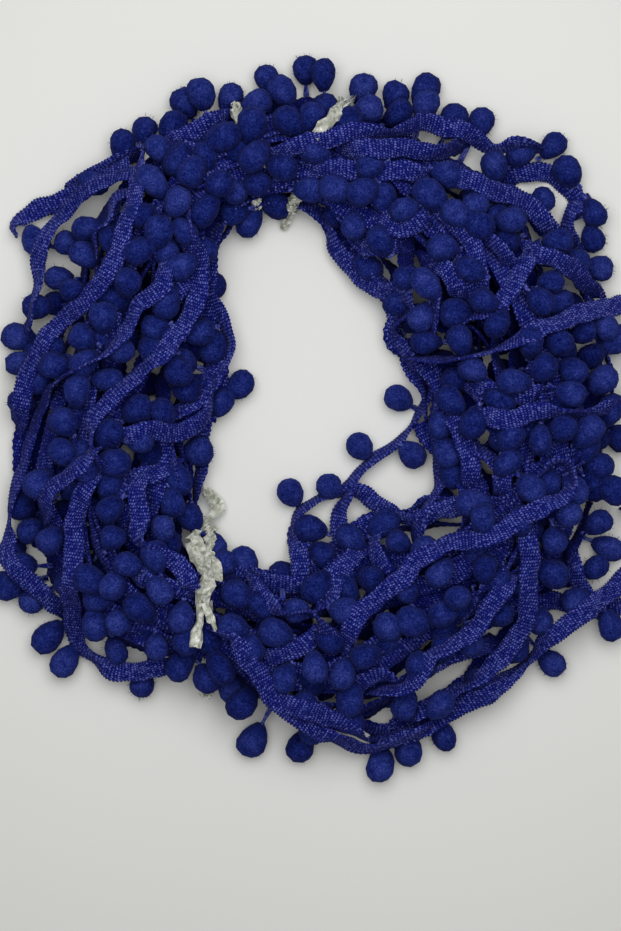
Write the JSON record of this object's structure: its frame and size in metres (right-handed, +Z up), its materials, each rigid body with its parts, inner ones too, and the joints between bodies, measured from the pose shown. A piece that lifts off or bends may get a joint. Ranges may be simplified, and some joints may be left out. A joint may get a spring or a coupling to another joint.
{
  "type": "pompom fringe trim hank",
  "caption": "Loose flat hank of woven braid with fuzzy pompoms on short stems along one edge, held by knotted film ties.",
  "frame": {"origin": "under the middle of the hank's bounding box, on the surface it lies on", "axes": "+Z up, square to the surface the hank lies on; +Y to the top of the wreath as seen from above, with the film tie's free end in the hole to the lower left"},
  "size_m": [0.3546, 0.368, 0.0532],
  "materials": {
    "plush_blue": "matt fuzzy acrylic plush, royal blue",
    "braid_blue": "woven braid with a slight sheen on its raised loops, royal blue",
    "clear_film": "crumpled clear film, milky and glossy"
  },
  "bodies": {
    "root": {"wound_hank": "plush_blue", "loose_end": "braid_blue", "inner_bow": "braid_blue", "film_tie_low": "clear_film", "film_tie_top": "clear_film", "film_tie_side": "clear_film"}
  },
  "joints": []
}
